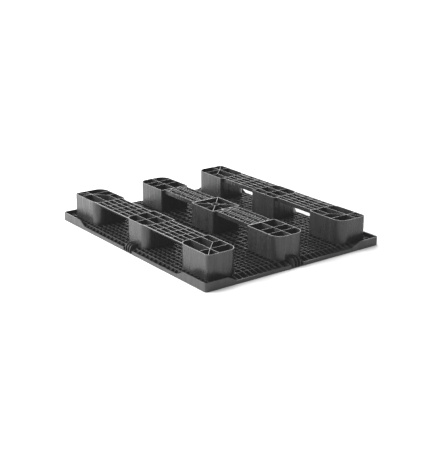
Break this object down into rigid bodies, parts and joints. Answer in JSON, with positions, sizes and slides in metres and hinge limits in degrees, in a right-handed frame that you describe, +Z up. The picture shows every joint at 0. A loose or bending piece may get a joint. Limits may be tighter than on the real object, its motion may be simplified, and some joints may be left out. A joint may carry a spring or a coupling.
{
  "type": "plastic pallet",
  "caption": "Black plastic pallet stored load face down: ribbed grid deck, hollow ribbed feet and ribbed runner bars between them, with fork openings on every side.",
  "frame": {"origin": "floor level under the middle of the footprint, with the pallet lying load face down as pictured", "axes": "+Z up from the load face on the floor to the runner face; +Y along the runners (1200 mm side); +X across them (1000 mm side)"},
  "size_m": [1, 1.2, 0.14],
  "materials": {
    "deck_plastic": "moulded recycled black plastic, satin, fine flow marks",
    "foot_plastic": "moulded recycled black plastic, satin, vertical drag marks from the mould",
    "runner_plastic": "moulded recycled black plastic, satin, scuffed edges",
    "pin_plastic": "moulded black plastic"
  },
  "bodies": {
    "root": {"deck_grid": "deck_plastic", "foot_left_front": "foot_plastic", "foot_left_middle": "foot_plastic", "foot_left_rear": "foot_plastic", "foot_centre_front": "foot_plastic", "foot_centre_middle": "foot_plastic", "foot_centre_rear": "foot_plastic", "foot_right_front": "foot_plastic", "foot_right_middle": "foot_plastic", "foot_right_rear": "foot_plastic", "runner_left_front": "runner_plastic", "runner_left_rear": "runner_plastic", "runner_centre_front": "runner_plastic", "runner_centre_rear": "runner_plastic", "runner_right_front": "runner_plastic", "runner_right_rear": "runner_plastic", "foot_pins_left": "pin_plastic", "foot_pins_centre": "pin_plastic", "foot_pins_right": "pin_plastic", "runner_pins_left": "pin_plastic", "runner_pins_centre": "pin_plastic", "runner_pins_right": "pin_plastic"}
  },
  "joints": []
}
